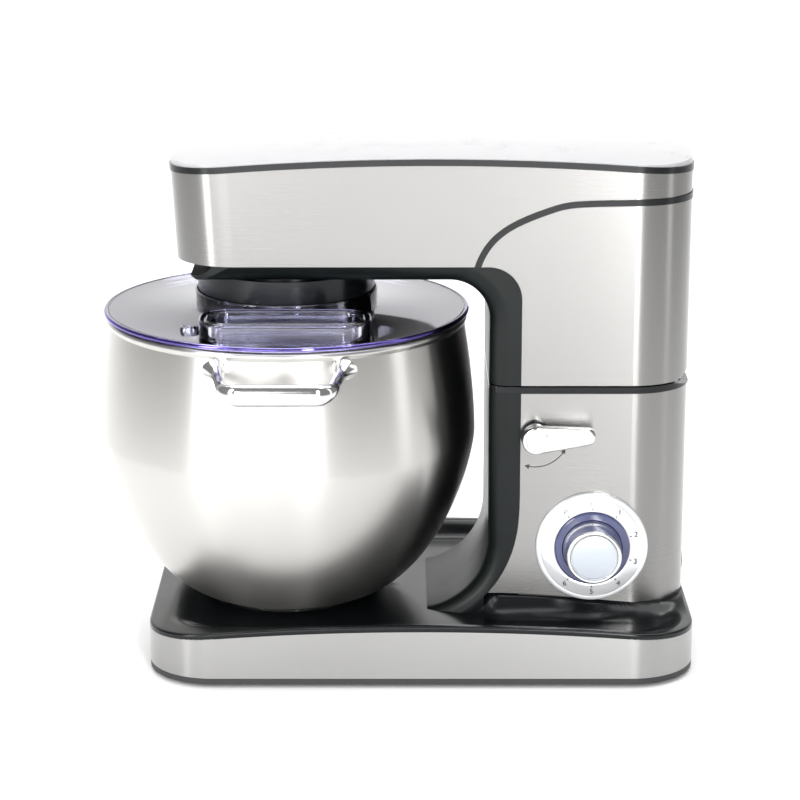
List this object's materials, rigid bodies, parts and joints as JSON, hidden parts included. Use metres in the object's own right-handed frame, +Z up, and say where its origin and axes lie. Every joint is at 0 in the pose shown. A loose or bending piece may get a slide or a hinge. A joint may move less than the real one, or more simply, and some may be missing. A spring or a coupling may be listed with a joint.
{
  "type": "stand mixer",
  "caption": "Tilt-head stand mixer: steel bowl with side handles, clear splash lid with pouring chute, planetary dough hook, release lever and round speed knob.",
  "frame": {"origin": "on the table, under the middle of the overall box", "axes": "+X from the bowl towards the column's back, +Y to the machine's left side as seen from its bowl end, away from the lever and knob, +Z up"},
  "size_m": [0.4542, 0.3494, 0.3937],
  "materials": {
    "steel_panel": "brushed",
    "steel_bright": "polished",
    "bowl_steel": "satin",
    "black_gloss": "gloss",
    "black_matte": "satin",
    "light_cover": "satin",
    "dial_white": "gloss",
    "ring_violet": "translucent",
    "clear": "clear",
    "rubber": "matte",
    "cast_metal": "cast",
    "machined": "machined",
    "gear_steel": "ground",
    "gear_plastic": "moulded",
    "bronze": "sintered",
    "laminate": "laminated",
    "hook_metal": "cast polished",
    "board": "matte"
  },
  "bodies": {
    "base": {"base_plate": "black_matte", "base_band": "steel_panel", "base_deck": "black_gloss", "bowl_seat": "machined", "suction_feet": "rubber", "base_screws": "machined", "column_panel": "steel_panel", "column_housing": "black_matte", "neck_cover": "black_gloss", "column_rim": "black_gloss", "column_frame": "cast_metal", "column_bolts": "machined", "hinge_pin": "machined", "lever_bush": "black_gloss", "latch_spring": "machined", "dial_bezel": "dial_white", "light_ring": "ring_violet", "speed_switch": "black_matte", "control_board": "board", "cord_gland": "rubber"},
    "head": {"head_side_panel": "steel_panel", "neck_panel": "steel_panel", "panel_trim": "black_gloss", "top_trim": "black_gloss", "top_cover": "light_cover", "head_housing": "black_matte", "head_lower_cover": "black_gloss", "head_frame": "cast_metal", "ring_gear": "gear_steel", "hub_housing": "black_gloss", "idler_pin": "machined", "shaft_bearings": "bronze", "drive_belt": "rubber", "motor_stator": "laminate", "motor_cradle": "cast_metal", "catch_bar": "machined", "frame_screws": "machined"},
    "mixing_hub": {"planet_hub": "cast_metal", "output_gear": "gear_steel"},
    "idler": {"idler_gear": "gear_plastic"},
    "belt_pulley": {"pulley_shaft": "gear_steel", "drive_pulley": "gear_plastic"},
    "rotor": {"motor_rotor": "laminate", "motor_shaft": "machined", "motor_pulley": "machined", "motor_fan": "black_matte"},
    "tool": {"planet_gear": "gear_steel", "tool_shaft": "machined", "tool_pin": "machined", "dough_hook": "hook_metal"},
    "lid": {"splash_lid": "clear", "feed_chute": "clear"},
    "mixing_bowl": {"bowl": "bowl_steel", "bowl_foot": "bowl_steel", "bowl_handles": "steel_bright"},
    "lever": {"release_lever": "steel_bright", "latch_shaft": "machined"},
    "knob": {"speed_knob": "steel_bright", "knob_face": "steel_bright", "knob_shaft": "machined"}
  },
  "joints": [
    {"name": "head_tilt", "type": "hinge", "parent": "base", "child": "head", "pos_m": [0.214, 0, 0.214], "axis": [0, 1, 0], "range_deg": [0, 38]},
    {"name": "hub_spin", "type": "hinge", "parent": "head", "child": "mixing_hub", "pos_m": [-0.082, 0, 0.3], "axis": [0, 0, 1], "continuous": true},
    {"name": "tool_spin", "type": "hinge", "parent": "mixing_hub", "child": "tool", "pos_m": [-0.112, 0, 0.3], "axis": [0, 0, 1], "continuous": true},
    {"name": "idler_spin", "type": "hinge", "parent": "head", "child": "idler", "pos_m": [-0.028, 0, 0.33], "axis": [0, 0, 1], "continuous": true},
    {"name": "pulley_spin", "type": "hinge", "parent": "head", "child": "belt_pulley", "pos_m": [0.017, 0, 0.35], "axis": [0, 0, 1], "continuous": true},
    {"name": "motor_spin", "type": "hinge", "parent": "head", "child": "rotor", "pos_m": [0.151, 0, 0.27], "axis": [0, 0, 1], "continuous": true},
    {"name": "lid_turn", "type": "hinge", "parent": "head", "child": "lid", "pos_m": [-0.082, 0, 0.262], "axis": [0, 0, 1], "range_deg": [0, 20]},
    {"name": "bowl_twist", "type": "hinge", "parent": "base", "child": "mixing_bowl", "pos_m": [-0.082, 0, 0.038], "axis": [0, 0, 1], "range_deg": [0, 35]},
    {"name": "lever_turn", "type": "hinge", "parent": "base", "child": "lever", "pos_m": [0.1065, -0.076, 0.1788], "axis": [0, 1, 0], "range_deg": [0, 60], "stiffness_Nm_per_rad": 0.15},
    {"name": "knob_turn", "type": "hinge", "parent": "base", "child": "knob", "pos_m": [0.1505, -0.09, 0.091], "axis": [0, 1, 0], "range_deg": [-36, 216]}
  ],
  "couplings": [
    {"joint": "tool_spin", "follows": "hub_spin", "ratio": -3},
    {"joint": "idler_spin", "follows": "hub_spin", "ratio": -3},
    {"joint": "pulley_spin", "follows": "hub_spin", "ratio": 9},
    {"joint": "motor_spin", "follows": "hub_spin", "ratio": 31.5}
  ]
}
